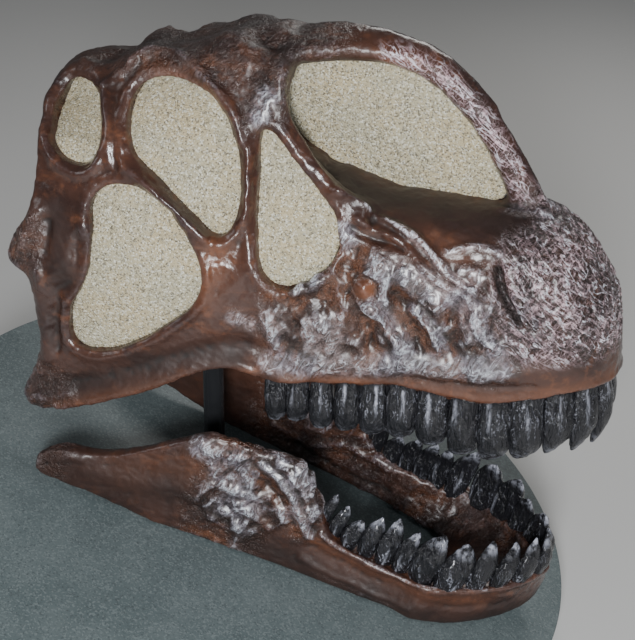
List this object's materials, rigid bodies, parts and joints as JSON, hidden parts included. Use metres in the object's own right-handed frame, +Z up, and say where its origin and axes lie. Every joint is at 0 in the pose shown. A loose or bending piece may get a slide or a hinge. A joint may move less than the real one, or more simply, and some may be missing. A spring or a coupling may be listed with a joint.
{
  "type": "dinosaur skull cast",
  "caption": "Life-size cast of a long-necked dinosaur's skull with its jaw apart, held on an upright rod over a round sloping display plinth.",
  "frame": {"origin": "centre of the bounding box's base, on the floor under the plinth", "axes": "+X towards the snout, +Y to the skull's left, +Z up"},
  "size_m": [0.6979, 0.69, 0.6483],
  "materials": {
    "cast_bone": "dark red-brown mottled paint, glossy varnish",
    "dark_bone": "very dark brown paint, satin",
    "sand_infill": "beige coarse sand texture, matt",
    "black_paint": "gloss black paint",
    "laminate": "grey-green speckled laminate, satin",
    "drum_paint": "plain grey paint, satin"
  },
  "bodies": {
    "root": {"premaxilla_right": "cast_bone", "maxilla_right": "cast_bone", "nasal_right": "cast_bone", "lacrimal_right": "cast_bone", "jugal_right": "cast_bone", "quadratojugal_right": "cast_bone", "squamosal_right": "cast_bone", "postorbital_right": "cast_bone", "frontal_right": "cast_bone", "parietal_right": "cast_bone", "dentary_right": "cast_bone", "surangular_right": "cast_bone", "angular_right": "cast_bone", "premaxilla_left": "cast_bone", "maxilla_left": "cast_bone", "nasal_left": "cast_bone", "lacrimal_left": "cast_bone", "jugal_left": "cast_bone", "quadratojugal_left": "cast_bone", "squamosal_left": "cast_bone", "postorbital_left": "cast_bone", "frontal_left": "cast_bone", "parietal_left": "cast_bone", "dentary_left": "cast_bone", "surangular_left": "cast_bone", "angular_left": "cast_bone", "panel_supratemporal_right": "sand_infill", "panel_orbit_right": "sand_infill", "panel_infratemporal_right": "sand_infill", "panel_antorbital_right": "sand_infill", "panel_supratemporal_left": "sand_infill", "panel_orbit_left": "sand_infill", "panel_infratemporal_left": "sand_infill", "panel_antorbital_left": "sand_infill", "panel_nostril": "sand_infill", "braincase": "dark_bone", "post": "black_paint", "post_collar": "black_paint", "saddle": "black_paint", "plinth_top": "laminate", "plinth_drum": "drum_paint"}
  },
  "joints": []
}
